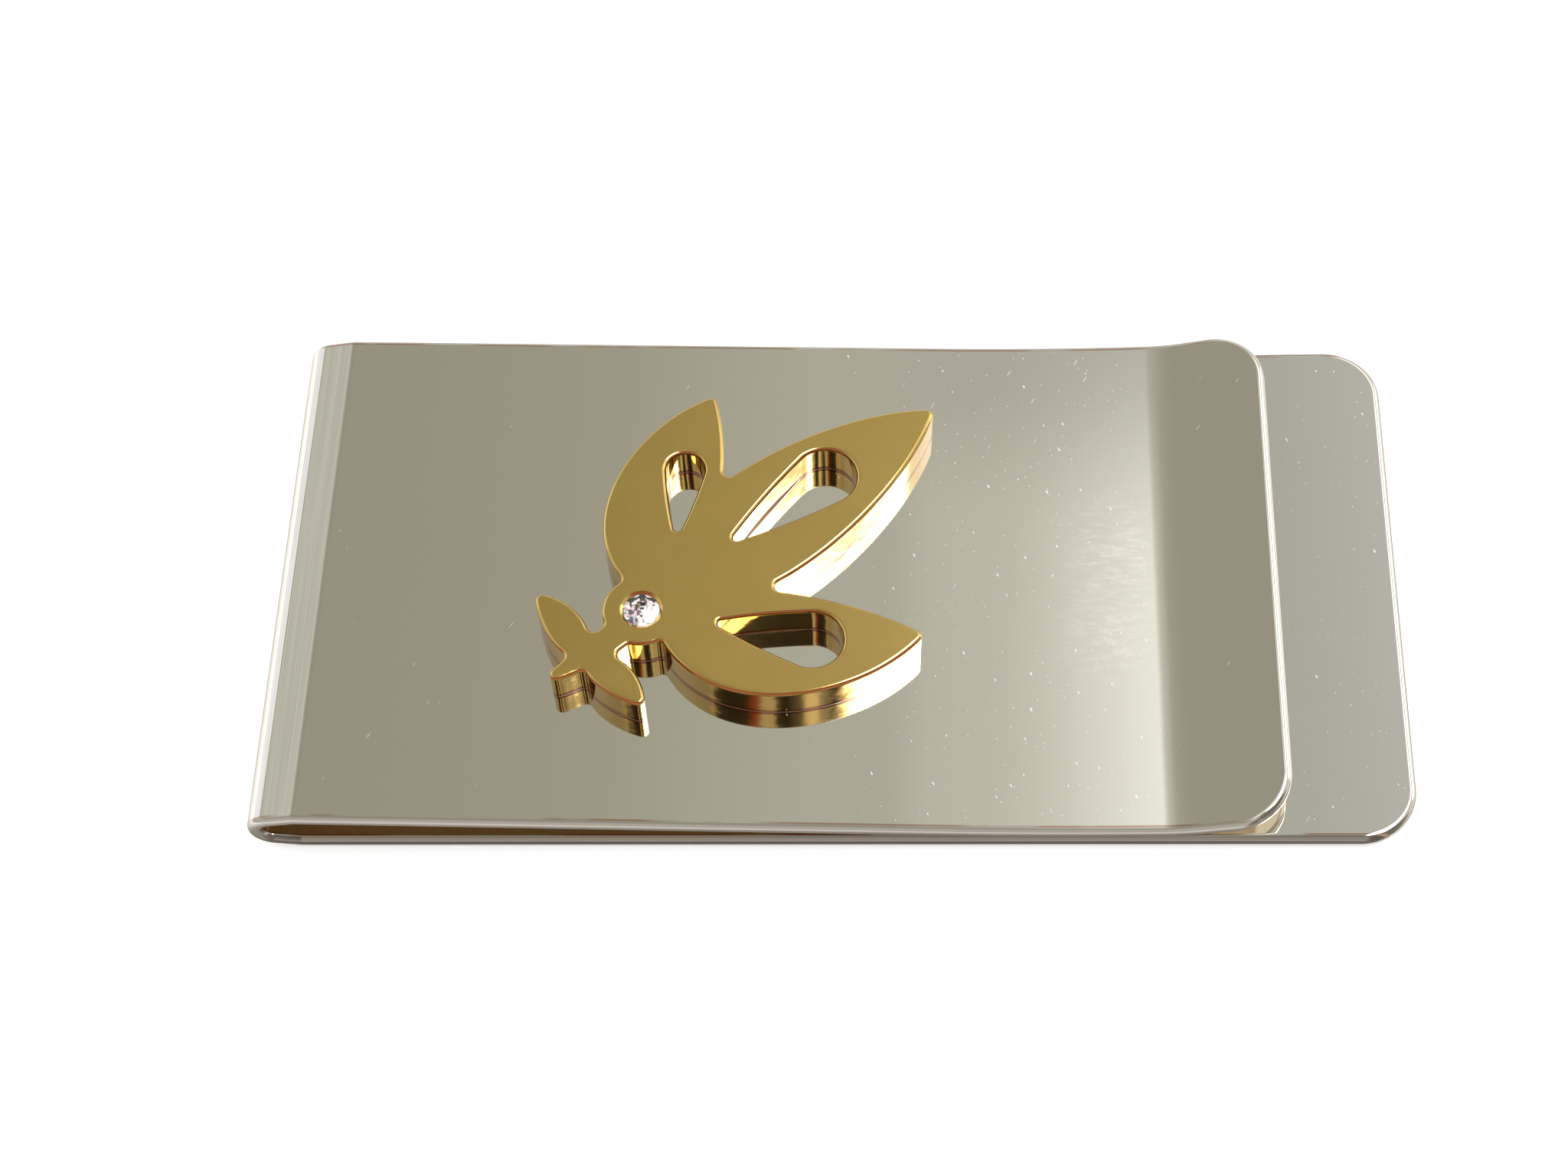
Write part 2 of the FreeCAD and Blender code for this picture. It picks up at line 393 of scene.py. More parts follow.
def smoothed(loop):
    """A closed outline resampled along a curve through its points: (place, direction) pairs."""
    count = len(loop)
    chords = [(loop[(i + 1) % count] - loop[i]) for i in range(count)]
    slopes = []
    for i in range(count):
        before, after = chords[i - 1], chords[i]
        a, b = before.length, after.length
        slopes.append((before * (b / a) + after * (a / b)) / (a + b))
    result = []
    for i, chord in enumerate(chords):
        length = chord.length
        p, q = loop[i], loop[(i + 1) % count]
        m, n = slopes[i] * length, slopes[(i + 1) % count] * length
        steps = max(2, math.ceil(length / OUTLINE_STEP))
        # A cubic from p to q, with the slopes m at p and n at q
        for k in range(steps):
            t = k / steps
            place = p * (2 * t**3 - 3 * t**2 + 1) + m * (t**3 - 2 * t**2 + t)
            place = place + q * (3 * t**2 - 2 * t**3) + n * (t**3 - t**2)
            heading = p * (6 * t**2 - 6 * t) + m * (3 * t**2 - 4 * t + 1)
            heading = heading + q * (6 * t - 6 * t**2) + n * (3 * t**2 - 2 * t)
            result.append((place, heading.normalized()))
    return result


def emblem_wall(skin, outline, bottom, top):
    """An upright wall with a rounded rim.  Returns the points along its foot and along its rim."""
    profile = [(0.0, bottom, 1.0, 0.0)]
    for inset, drop, out, up in reversed(round_profile(EMBLEM_EDGE_ROUND)):
        profile.append((inset, top - drop, out, up))
    levels = []
    for inset, height, out, up in profile:
        line = []
        for place, heading in outline:
            outward = Vector((heading.y, -heading.x))
            spot = place - outward * inset
            normal = on_leaf(outward.x * out, outward.y * out, up)
            line.append((skin.point(on_leaf(spot.x, spot.y, height)), normal))
        levels.append(line)
    for low, high in zip(levels, levels[1:]):
        for i in range(len(outline)):
            k = (i + 1) % len(outline)
            corners = [low[i], low[k], high[k], high[i]]
            skin.face([index for index, _ in corners], [normal for _, normal in corners], 1)
    foot, rim = ([index for index, _ in line] for line in (levels[0], levels[-1]))
    return foot, rim


def stone_seat(skin, centre, mouth_radius, top):
    """A turned pocket under an overhanging lip, ending in a cone.  Returns the points of its mouth."""
    cone_depth = SEAT_WALL_DEPTH + SEAT_RADIUS - SEAT_TIP_RADIUS
    profile = [
        (mouth_radius, top),
        (SEAT_LIP_RADIUS, top - SEAT_LIP_TOP),
        (SEAT_LIP_RADIUS, top - SEAT_LIP_UNDERSIDE),
        (SEAT_RADIUS, top - SEAT_LIP_UNDERSIDE),
        (SEAT_RADIUS, top - SEAT_WALL_DEPTH),
        (SEAT_TIP_RADIUS, top - cone_depth),
    ]
    angles = [2 * math.pi * i / SEAT_STEPS for i in range(SEAT_STEPS)]
    circles = []
    for radius, height in profile:
        spots = [(centre.x + radius * math.cos(a), centre.y + radius * math.sin(a)) for a in angles]
        circles.append([skin.point(on_leaf(u, v, height)) for u, v in spots])
    for (r0, h0), (r1, h1), outer, inner in zip(profile, profile[1:], circles, circles[1:]):
        fall, narrowing = h0 - h1, r0 - r1
        size = math.hypot(fall, narrowing)
        out, up = -fall / size, narrowing / size
        normals = [on_leaf(math.cos(a) * out, math.sin(a) * out, up) for a in angles]
        for i in range(SEAT_STEPS):
            k = (i + 1) % SEAT_STEPS
            corners = [outer[i], outer[k], inner[k], inner[i]]
            skin.face(corners, [normals[i], normals[k], normals[k], normals[i]], 1)
    skin.face(list(circles[-1]), [LEAF_UP] * SEAT_STEPS, 1)
    return circles[0]


def fill(skin, loops, normal):
    """A flat face between closed loops of points."""
    flat = [index for loop in loops for index in loop]
    places = [[skin.points[index] for index in loop] for loop in loops]
    for triangle in tessellate_polygon(places):
        corners = [flat[i] for i in triangle]
        a, b, c = (skin.points[index] for index in corners)
        if (b - a).cross(c - a).dot(normal) < 0:
            corners.reverse()
        skin.face(corners, [normal] * 3, 0)


def build_emblem(face_gold, wall_gold):
    bottoms, bottom = flat_outlines("emblem", -LEAF_UP)
    tops, top = flat_outlines("emblem", LEAF_UP)
    mouth = min(tops, key=lambda loop: abs(signed_area(loop)))
    centre = sum(mouth, Vector((0, 0))) / len(mouth)
    mouth_radius = sum((point - centre).length for point in mouth) / len(mouth)
    bottoms.sort(key=lambda loop: -abs(signed_area(loop)))

    skin = Skin()
    rims, feet = [], []
    for order, loop in enumerate(bottoms):
        # The outer outline comes first and runs anticlockwise; the openings run clockwise
        if (signed_area(loop) > 0) != (order == 0):
            loop.reverse()
        foot, rim = emblem_wall(skin, smoothed(loop), bottom, top)
        feet.append(foot)
        rims.append(rim)
    seat_mouth = stone_seat(skin, centre, mouth_radius, top)
    fill(skin, rims + [seat_mouth], LEAF_UP)
    fill(skin, feet, -LEAF_UP)
    piece = skin.piece("emblem_casting", face_gold, wall_gold)
    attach(piece, "front")
    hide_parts("emblem")


# ---------------------------------------------------------------- the stone


def build_stone(glass, silvering):
    """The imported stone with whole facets; the ones below the girdle carry the silvering."""
    mesh = frame["nodes"]["stone"].data.copy()
    mesh.name = "stone_gem"
    cut = bmesh.new()
    cut.from_mesh(mesh)
    bmesh.ops.remove_doubles(cut, verts=cut.verts, dist=SAME_PLACE)
    bmesh.ops.dissolve_limit(cut, angle_limit=SAME_FACET, verts=cut.verts, edges=cut.edges)
    cut.to_mesh(mesh)
    cut.free()
    mesh.materials.clear()
    mesh.materials.append(glass)
    mesh.materials.append(silvering)
    for polygon in mesh.polygons:
        polygon.use_smooth = False
        polygon.material_index = 1 if polygon.normal.dot(LEAF_UP) < BELOW_GIRDLE else 0
    gem = bpy.data.objects.new("stone_gem", mesh)
    bpy.context.scene.collection.objects.link(gem)
    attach(gem, "front")
    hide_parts("stone")


# ---------------------------------------------------------------- materials


class Nodes:
    """A short way to write shader nodes: each call adds one node and links its inputs."""

    def __init__(self, tree):
        self.tree = tree
        tree.nodes.clear()

    def add(self, kind, inputs=None, **settings):
        node = self.tree.nodes.new(kind)
        for key, value in settings.items():
            setattr(node, key, value)
        for key, value in (inputs or {}).items():
            self.set(node.inputs[key], value)
        return node

    def set(self, socket, value):
        if isinstance(value, bpy.types.NodeSocket):
            self.tree.links.new(value, socket)
        else:
            socket.default_value = value

    def math(self, operation, *values):
        return self.add("ShaderNodeMath", dict(enumerate(values)), operation=operation).outputs[0]

    def product(self, first, *others):
        for value in others:
            first = self.math("MULTIPLY", first, value)
        return first

    def largest(self, first, *others):
        for value in others:
            first = self.math("MAXIMUM", first, value)
        return first

    def ramp(self, value, low, high):
        """0 below low, 1 above high, smooth between; low may be the larger."""
        inputs = {"Value": value, "From Min": low, "From Max": high}
        node = self.add("ShaderNodeMapRange", inputs, interpolation_type="SMOOTHSTEP", clamp=True)
        return node.outputs[0]

    def span(self, value, edges):
        """1 between the middle two edges, fading to 0 at the outer two."""
        return self.product(self.ramp(value, edges[0], edges[1]), self.ramp(value, edges[3], edges[2]))

    def split(self, vector):
        return self.add("ShaderNodeSeparateXYZ", {0: vector}).outputs

    def facing(self):
        """The parts of the surface's normal."""
        return self.split(self.add("ShaderNodeNewGeometry").outputs["Normal"])

    def noise(self, place, scale, detail=2.0, roughness=0.5):
        inputs = {"Vector": place, "Scale": scale, "Detail": detail, "Roughness": roughness}
        return self.add("ShaderNodeTexNoise", inputs).outputs[0]

    def mapped(self, place, turn=0.0, scale=(1, 1, 1)):
        inputs = {"Vector": place, "Rotation": (0, 0, turn), "Scale": scale}
        return self.add("ShaderNodeMapping", inputs).outputs[0]

    def mix(self, factor, low, high):
        node = self.add("ShaderNodeMix", data_type="RGBA")
        for socket, value in ((0, factor), (6, low), (7, high)):
            self.set(node.inputs[socket], value)
        return node.outputs[2]

    def bump(self, height, distance, normal=None):
        inputs = {"Height": height, "Distance": distance}
        if normal is not None:
            inputs["Normal"] = normal
        return self.add("ShaderNodeBump", inputs).outputs[0]

    def metal(self, colour, roughness, normal=None):
        inputs = {"Base Color": colour, "Metallic": 1.0, "Roughness": roughness}
        if normal is not None:
            inputs["Normal"] = normal
        return self.add("ShaderNodeBsdfPrincipled", inputs).outputs[0]

    def add_shaders(self, one, other):
        return self.add("ShaderNodeAddShader", {0: one, 1: other}).outputs[0]

    def mix_shaders(self, factor, low, high):
        return self.add("ShaderNodeMixShader", {0: factor, 1: low, 2: high}).outputs[0]

    def glow(self, colour, strength=1.0):
        return self.add("ShaderNodeEmission", {"Color": colour, "Strength": strength}).outputs[0]

    def clear(self):
        return self.add("ShaderNodeBsdfTransparent").outputs[0]

    def seen_by_second_bounce(self):
        """1 for light paths that have bounced more than once, 0 for the others."""
        depth = self.add("ShaderNodeLightPath").outputs["Ray Depth"]
        return self.math("GREATER_THAN", depth, 1.5)

    def surface(self, shader):
        self.add("ShaderNodeOutputMaterial", {"Surface": shader})


def new_material(name, place_node="ShaderNodeTexCoord", place_output="Object"):
    """A material, its nodes, and the place on the surface in millimetres."""
    material = bpy.data.materials.new(name)
    material.use_nodes = True
    # A glowing surface lights only the mirrors that see it
    material.cycles.emission_sampling = "NONE"
    nodes = Nodes(material.node_tree)
    place = nodes.add(place_node).outputs[place_output]
    return material, nodes, nodes.mapped(place, scale=(1 / MM, 1 / MM, 1 / MM))


# Each speck's cell picks a number from 0 to 1; a pick of this much would give a full-size speck
FULL_SIZE_PICK = 1.06


def specks(nodes, place, turn, per_mm, bare, radius):
    """Specks of mixed size, one to a cell.

    turn leans them, per_mm is how many cells fit in a millimetre along and across, bare is the share
    of cells without a speck, and radius is in cells.
    """
    cells = nodes.add(
        "ShaderNodeTexVoronoi",
        {"Vector": nodes.mapped(nodes.mapped(place, turn), 0, (*per_mm, 1)), "Scale": 1.0},
        feature="F1",
        voronoi_dimensions="2D",
    )
    pick = nodes.add("ShaderNodeSeparateColor", {0: cells.outputs["Color"]}).outputs[0]
    size = nodes.product(nodes.ramp(pick, bare, FULL_SIZE_PICK), radius)
    return nodes.math("LESS_THAN", cells.outputs["Distance"], size)


# Where the nickel shows its wear, in mm along X or Y.  With four edges it is full between the middle
# two; with two it grows from none at the first to full at the second.
RUBBED_ALONG = (9.5, 13.6, 13.9, 14.6)
RUBBED_ACROSS = (-6.5, -3.0, 1.5, 5.5)
DUSTY_ALONG = (-4.0, 8.0, 13.8, 15.0)
PAST_LIP = (20.2, 20.6)
SCUFFED_ALONG = (2.0, 5.0, 13.0, 14.0)
SCUFFED_BEYOND = (8.5, 9.8)
TOOLED_BEYOND = (-22.9, -23.3)

# Shares of cells without a speck
BARE_WHERE_CLEAN = 0.97
BARE_WHERE_DUSTY = 0.50
BARE_OF_SCRATCHES = 0.93
BARE_OF_SCUFFS = 0.35

# How dusty the nickel is past the lip, against the dustiest part of the front leaf
PAST_LIP_DUST = 0.6

NICKEL = (0.66, 0.62, 0.55, 1)
TOOLED_NICKEL = (0.57, 0.54, 0.47, 1)
CUT_EDGE = (0.45, 0.41, 0.37, 1)
# A painted shade: the back leaf's cut edges are darker, for the shadowed floor they mirror
CUT_EDGE_BACK_SHADED = (0.29, 0.25, 0.225, 1)
RUSTY = (0.46, 0.31, 0.24, 1)
# A painted dark reflection on the near tip corners
TIP_CORNER_DARK_REFLECTION = (0.10, 0.075, 0.06, 1)
DUST = (0.9, 0.88, 0.82, 1)
FOLD_GLOW = (0.075, 0.045, 0.02, 1)


def rub_marks(nodes, place, x, y):
    """The patch where notes rub, just before the lip, in short lengthways strokes."""
    strokes = nodes.noise(nodes.mapped(place, -0.10, (1.3, 4.2, 1.0)), 1.0, 4.0, 0.65)
    patch = nodes.product(nodes.span(x, RUBBED_ALONG), nodes.span(y, RUBBED_ACROSS))
    return nodes.product(patch, nodes.ramp(strokes, 0.42, 0.72))


def dust_and_scratches(nodes, place, x, y):
    """Dust, thickest towards the lip, and a few fine scratches."""
    past_lip = nodes.product(nodes.ramp(x, *PAST_LIP), PAST_LIP_DUST)
    dusty = nodes.largest(nodes.span(x, DUSTY_ALONG), past_lip)
    covered = nodes.product(dusty, BARE_WHERE_CLEAN - BARE_WHERE_DUSTY)
    bare = nodes.math("SUBTRACT", BARE_WHERE_CLEAN, covered)
    flecks = specks(nodes, place, -0.42, (1.3, 0.5), bare, radius=0.055)
    motes = specks(nodes, place, -0.3, (2.6, 1.5), bare, radius=0.070)
    scratches = specks(nodes, place, -2.6, (2.4, 0.30), BARE_OF_SCRATCHES, radius=0.09)
    scuffs = specks(nodes, place, 0.46, (1.2, 0.24), BARE_OF_SCUFFS, radius=0.060)
    scuffed = nodes.product(nodes.span(x, SCUFFED_ALONG), nodes.ramp(y, *SCUFFED_BEYOND))
    marks = nodes.largest(scratches, nodes.product(scuffs, scuffed))
    return nodes.largest(flecks, nodes.product(motes, 0.65), nodes.product(marks, 0.45))


def nickel_colour(nodes, place, facing, sheet, edge_start):
    """Plain nickel, with tool lines on the fold, dull cut edges, a painted shade on the back leaf's
    edges and a painted dark reflection on the near tip corners.
    """
    x, y, z = nodes.split(place)
    normal_x, normal_y, normal_z = facing
    from_middle = nodes.math("ABSOLUTE", y)

    # Lengthways lines left by the bending tool
    lines = nodes.noise(nodes.mapped(place, 0, (6.0, 0.05, 6.0)), 1.0, 3.0, 0.6)
    tooled = nodes.product(nodes.ramp(x, *TOOLED_BEYOND), nodes.ramp(lines, 0.35, 0.65))
    colour = nodes.mix(tooled, NICKEL, TOOLED_NICKEL)

    # The long cut edges, duller than the plate, and darker on the back leaf: a painted shade for the
    # shadowed floor beside it
    edge = nodes.mix(nodes.ramp(z, sheet + 0.02, sheet + 0.10), CUT_EDGE_BACK_SHADED, CUT_EDGE)
    colour = nodes.mix(nodes.ramp(from_middle, edge_start + 0.04, edge_start + 0.12), colour, edge)

    # The near tip corners, where they face near and up: a painted dark reflection
    dark_reflection = nodes.product(
        nodes.span(normal_x, (0.03, 0.15, 0.52, 0.72)),
        nodes.ramp(normal_y, -0.25, -0.4),
        nodes.span(normal_z, (0.15, 0.3, 0.85, 0.96)),
        0.85,
    )
    colour = nodes.mix(dark_reflection, colour, TIP_CORNER_DARK_REFLECTION)

    # A rusty line in places, where the cut edges begin
    line = [edge_start + past for past in (-0.02, 0.01, 0.06, 0.10)]
    in_places = nodes.ramp(nodes.noise(place, 0.25, 2.0), 0.42, 0.55)
    return nodes.mix(nodes.product(nodes.span(from_middle, line), in_places), colour, RUSTY)


def nickel_material():
    """Polished nickel plate: a near mirror with dust, fine scratches and a rubbed patch."""
    material, nodes, place = new_material("nickel_plate")
    _, half_width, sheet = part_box("back_leaf")[1] / MM
    edge_start = half_width - EDGE_ROUND / MM
    x, y, z = nodes.split(place)
    facing = nodes.facing()
    upward = nodes.ramp(facing["Z"], 0.5, 0.8)
    on_front_leaf = nodes.ramp(z, sheet + 0.2, sheet + 0.4)
    off_edges = nodes.ramp(nodes.math("ABSOLUTE", y), edge_start, edge_start - 0.1)
    rubbed = nodes.product(rub_marks(nodes, place, x, y), upward, on_front_leaf)
    dirt = nodes.product(dust_and_scratches(nodes, place, x, y), upward, off_edges)

    colour = nickel_colour(nodes, place, facing, sheet, edge_start)
    cloudy = nodes.product(nodes.noise(place, 0.6, 4.0), 0.03)
    roughness = nodes.math("ADD", 0.045, cloudy)
    roughness = nodes.math("ADD", roughness, nodes.product(rubbed, 0.08))
    metal = nodes.metal(colour, roughness, nodes.bump(nodes.noise(place, 0.09, 1.0), 0.006 * MM))
    dust = nodes.add("ShaderNodeBsdfDiffuse", {"Color": DUST}).outputs[0]
    cover = nodes.math("ADD", nodes.product(dirt, 0.6), nodes.product(rubbed, 0.30))

    # Light that bounces on and on inside the fold comes out a faint brown
    fold_glow = nodes.glow(FOLD_GLOW, nodes.seen_by_second_bounce())
    plate_and_dust = nodes.mix_shaders(cover, metal, dust)
    nodes.surface(nodes.add_shaders(plate_and_dust, fold_glow))
    return material


GOLD_DARK = (0.54, 0.37, 0.115, 1)
GOLD_LIGHT = (0.61, 0.42, 0.135, 1)
# A painted dark red reflection for the near rims and wall feet
NEAR_RIM_REFLECTION = (0.34, 0.11, 0.04, 1)


def gold_nodes(name):
    """The start of both golds: gold-tone plate, slightly tarnished."""
    material, nodes, place = new_material(name)
    return material, nodes, place, nodes.mix(nodes.noise(place, 0.35, 3.0), GOLD_DARK, GOLD_LIGHT)


def satin_gold():
    material, nodes, place, colour = gold_nodes("gold_face")
    grain = nodes.noise(place, 22.0, 3.0, 0.7)
    waves = nodes.bump(nodes.noise(place, 0.5, 1.0), 0.004 * MM)
    normal = nodes.bump(grain, 0.0012 * MM, waves)
    roughness = nodes.math("ADD", 0.13, nodes.product(grain, 0.08))
    nodes.surface(nodes.metal(colour, roughness, normal))
    return material


def bright_gold():
    """A painted dark red reflection on the near side, along the rims and the feet of the walls."""
    material, nodes, place, colour = gold_nodes("gold_walls")
    _, face_y, face_z = nodes.facing()
    foot = flat_outlines("emblem", -LEAF_UP)[1] / MM
    height = nodes.add("ShaderNodeVectorMath", {0: place, 1: LEAF_UP}, operation="DOT_PRODUCT")
    low = nodes.ramp(height.outputs["Value"], foot + 0.17, foot + 0.09)
    rim = nodes.span(face_z, (0.25, 0.35, 0.85, 0.95))
    # Painted reflection: near-facing rims and wall feet take a dark red tone
    rim_reflection = nodes.product(nodes.ramp(face_y, -0.35, -0.55), nodes.largest(rim, low))
    colour = nodes.mix(rim_reflection, colour, NEAR_RIM_REFLECTION)
    roughness = nodes.math("ADD", 0.05, nodes.product(nodes.noise(place, 4.0, 2.0), 0.05))
    normal = nodes.bump(nodes.noise(place, 0.9, 2.0), 0.012 * MM)
    nodes.surface(nodes.metal(colour, roughness, normal))
    return material


def glass_material():
    material, nodes, place = new_material("stone_glass")
    smear = nodes.product(nodes.noise(place, 3.0, 2.0), 0.03)
    inputs = {"Color": (1.0, 0.99, 0.98, 1), "Roughness": smear, "IOR": 1.6}
    glass = nodes.add("ShaderNodeBsdfGlass", inputs)
    nodes.surface(glass.outputs[0])
    return material


def silver_material():
    material, nodes, place = new_material("stone_silvering")
    colour = nodes.mix(nodes.noise(place, 6.0, 2.0), (0.90, 0.90, 0.90, 1), (0.97, 0.97, 0.96, 1))
    nodes.surface(nodes.metal(colour, 0.06))
    return material


def glue_material():
    material, nodes, place = new_material("clear_epoxy")
    colour = nodes.mix(nodes.noise(place, 2.0, 3.0), (0.10, 0.05, 0.02, 1), (0.22, 0.12, 0.05, 1))
    inputs = {"Base Color": colour, "Roughness": 0.15, "IOR": 1.55, "Coat Weight": 0.5}
    resin = nodes.add("ShaderNodeBsdfPrincipled", inputs)
    nodes.surface(resin.outputs[0])
    return material


def use_material(node, material):
    mesh = frame["nodes"][node].data
    mesh.materials.clear()
    mesh.materials.append(material)


# ---------------------------------------------------------------- studio


def studio_mesh(name, low, high, height, material):
    """A level rectangle that isn't part of the object; corners in mm."""
    mesh = bpy.data.meshes.new(name)
    corners = [(low[0], low[1]), (high[0], low[1]), (high[0], high[1]), (low[0], high[1])]
    mesh.from_pydata([(x * MM, y * MM, 0) for x, y in corners], [], [(0, 1, 2, 3)])
    mesh.materials.append(material)
    obj = bpy.data.objects.new(name, mesh)
    obj.location.z = height * MM
    bpy.context.scene.collection.objects.link(obj)
    return obj


def studio_material(name):
    """The same for the studio's surfaces, with the place in the object's frame."""
    return new_material(name, "ShaderNodeNewGeometry", "Position")


FLOOR_HALF = 1500
FLOOR_DROP = 0.02
FLOOR_TONE = (0.93, 0.93, 0.925, 1)
SHADED_TONE = (0.42, 0.40, 0.35, 1)
SHADE_REACH = 3.0
PAPER_GLOW = 0.28
LIT_SIDE = (-26, -34)
LIT_SIDE_GLOW = 0.6


def floor():
    """A wide pale floor, clear when seen from below.

    In reflections it is darker close to the object and brighter at the left, and it is clear under
    the object, where a mirror would show it black.
    """
    material, nodes, place = studio_material("pale_floor")
    x, y, _ = nodes.split(place)
    half_length, half_width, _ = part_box("back_leaf")[1] / MM
    path = nodes.add("ShaderNodeLightPath").outputs
    beyond = nodes.largest(
        nodes.math("SUBTRACT", nodes.math("ABSOLUTE", x), half_length),
        nodes.math("SUBTRACT", nodes.math("ABSOLUTE", y), half_width),
    )
    close_by = nodes.product(nodes.ramp(beyond, SHADE_REACH, 0.0), path["Is Glossy Ray"])
    tone = nodes.mix(close_by, FLOOR_TONE, SHADED_TONE)
    diffuse = nodes.add("ShaderNodeBsdfDiffuse", {"Color": tone}).outputs[0]
    lit_side = nodes.product(nodes.ramp(x, *LIT_SIDE), path["Is Glossy Ray"], LIT_SIDE_GLOW)
    glow = nodes.math("ADD", lit_side, nodes.product(path["Is Camera Ray"], PAPER_GLOW))
    paper = nodes.add_shaders(diffuse, nodes.glow((1, 1, 1, 1), glow))
    covered = nodes.product(nodes.math("LESS_THAN", beyond, 0.0), path["Is Glossy Ray"])
    below = nodes.add("ShaderNodeNewGeometry").outputs["Backfacing"]
    nodes.surface(nodes.mix_shaders(nodes.largest(below, covered), paper, nodes.clear()))
    low, high = (-FLOOR_HALF, -FLOOR_HALF), (FLOOR_HALF, FLOOR_HALF)
    studio_mesh("studio_floor", low, high, -FLOOR_DROP, material)


def only_in_reflections(obj):
    obj.visible_camera = False
    obj.visible_diffuse = False
    obj.visible_shadow = False
    obj.visible_transmission = False


def ramp_colour(nodes, share, stops, interpolation):
    ramp = nodes.add("ShaderNodeValToRGB", {0: share})
    ramp.color_ramp.interpolation = interpolation
    elements = ramp.color_ramp.elements
    while len(elements) < len(stops):
        elements.new(1.0)
    for element, (position, colour) in zip(elements, stops):
        element.position = position
        element.color = (*colour, 1)
    return ramp.outputs[0]


def share_of(nodes, value, low, high):
    """0 at low and 1 at high, straight between."""
    inputs = {"Value": value, "From Min": low, "From Max": high}
    return nodes.add("ShaderNodeMapRange", inputs).outputs[0]


CEILING_HEIGHT = 320
CEILING_Y = (-90, 460)
CEILING_X = (-360, 260)
CEILING_BRIGHTENS = (90, 140)

# (X in mm, colour) across the ceiling.  All but the white ones were worked out from the photo's average
# tones along the strip, and then adjusted against renders.
CEILING_COLOURS = (
    (-360, (0.76, 0.78, 0.74)),
    (-235, (0.74, 0.76, 0.71)),
    (-205, (0.92, 0.94, 0.90)),
    (-160, (0.50, 0.49, 0.41)),
    (-110, (0.455, 0.45, 0.375)),
    (-60, (0.465, 0.46, 0.385)),
    (-31, (0.503, 0.506, 0.42)),
    (-12, (0.562, 0.574, 0.50)),
    (8, (0.62, 0.63, 0.56)),
    (27, (0.61, 0.625, 0.57)),
    (50, (0.545, 0.56, 0.51)),
    (84, (0.68, 0.715, 0.70)),
    (100, (1.0, 1.0, 1.0)),
    (150, (1.0, 1.0, 1.0)),
)


def ceiling():
    """The room's ceiling: dim on the left, paler on the right, white beyond the strip's end."""
    material, nodes, place = studio_material("ceiling")
    left, right = CEILING_X
    x = nodes.split(place)[0]
    stops = [((at - left) / (right - left), colour) for at, colour in CEILING_COLOURS]
    colour = ramp_colour(nodes, share_of(nodes, x, left, right), stops, "B_SPLINE")
    strength = nodes.math("ADD", 1.0, nodes.ramp(x, *CEILING_BRIGHTENS))
    nodes.surface(nodes.glow(colour, strength))
    low, high = zip(CEILING_X, CEILING_Y)
    only_in_reflections(studio_mesh("ceiling", low, high, CEILING_HEIGHT, material))


def soft_light(name, height, across, along, colour, strength):
    """A level patch of light with faded edges, seen only in reflections.

    across and along are its four edges in X and in Y, in mm, full between the middle two.
    """
    material, nodes, place = studio_material(name)
    x, y, _ = nodes.split(place)
    mask = nodes.product(nodes.span(x, across), nodes.span(y, along), strength)
    nodes.surface(nodes.add_shaders(nodes.glow((*colour, 1), mask), nodes.clear()))
    patch = studio_mesh(name, (across[0], along[0]), (across[3], along[3]), height, material)
    only_in_reflections(patch)


DARK = (0.045, 0.04, 0.035)
BEIGE = (0.80, 0.72, 0.54)
PALE = (0.92, 0.90, 0.82)
RUST = (0.42, 0.11, 0.05)
BROWN = (0.16, 0.09, 0.045)

ROOM_CENTRE = Vector((25.6, -181, 310)) * MM
ROOM_HALF_WIDTH = 310
ROOM_HALF_HEIGHT = 110
ROOM_LEAN = 0.35
BAND_BLUR = 0.006

# (share of the room's width where it starts, colour)
ROOM_BANDS = (
    (0.00, BROWN), (0.11, RUST), (0.17, BEIGE), (0.30, DARK), (0.40, RUST), (0.43, PALE),
    (0.48, DARK), (0.57, BEIGE), (0.61, DARK), (0.69, BEIGE), (0.78, BROWN), (0.86, PALE),
)


def room_behind_camera():
    """A striped card for the room behind the camera, which the walls of the emblem mirror.

    Only light that has already bounced off another surface sees it.
    """
    material, nodes, place = new_material("room_behind_camera")
    x, y, _ = nodes.split(place)
    lean = nodes.math("ADD", x, nodes.product(y, ROOM_LEAN))
    share = share_of(nodes, lean, -ROOM_HALF_WIDTH, ROOM_HALF_WIDTH)
    stops = []
    for (start, colour), (end, _) in zip(ROOM_BANDS, ROOM_BANDS[1:] + ((1.0, PALE),)):
        stops += [(start + BAND_BLUR, colour), (end - BAND_BLUR, colour)]
    glow = nodes.glow(ramp_colour(nodes, share, stops, "LINEAR"))
    nodes.surface(nodes.mix_shaders(nodes.seen_by_second_bounce(), nodes.clear(), glow))
    low, high = (-ROOM_HALF_WIDTH, -ROOM_HALF_HEIGHT), (ROOM_HALF_WIDTH, ROOM_HALF_HEIGHT)
    card = studio_mesh("room_behind_camera", low, high, 0, material)
    turn = ROOM_CENTRE.to_track_quat("Z", "Y").to_matrix().to_4x4()
    card.matrix_world = Matrix.Translation(ROOM_CENTRE) @ turn
    only_in_reflections(card)


